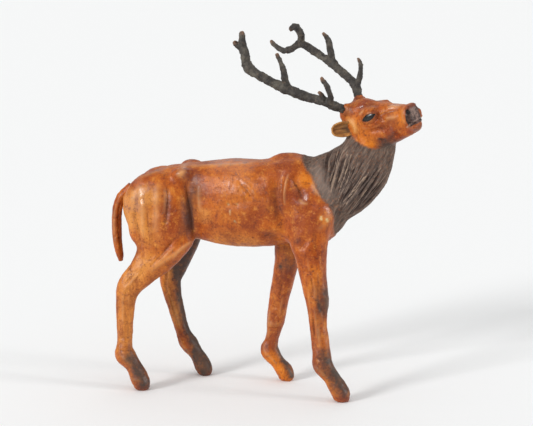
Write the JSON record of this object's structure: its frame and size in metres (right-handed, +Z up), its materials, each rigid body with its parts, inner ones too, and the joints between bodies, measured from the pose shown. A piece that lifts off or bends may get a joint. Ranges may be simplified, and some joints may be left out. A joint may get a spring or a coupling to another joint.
{
  "type": "deer figurine",
  "caption": "Walking stag figurine with raised, turned head, branched antlers, carved mane and leather-covered body, standing on its hooves.",
  "frame": {"origin": "on the floor, below the middle of the whole figure's box", "axes": "+Z up, +X from tail to nose, -Y to the figure's right side, which the picture shows"},
  "size_m": [0.3218, 0.139, 0.365],
  "materials": {
    "tan_leather": "burnished, semi-gloss, mottled orange-brown",
    "painted_antler": "matt charcoal paint over a wrapped, lumpy surface",
    "ochre_leather": "matt, worn",
    "black_glass": "high gloss"
  },
  "bodies": {
    "root": {"body": "tan_leather", "antler_right": "painted_antler", "antler_left": "painted_antler", "ear_right": "ochre_leather", "ear_left": "ochre_leather", "eye_right": "black_glass", "eye_left": "black_glass", "tail": "tan_leather"}
  },
  "joints": []
}
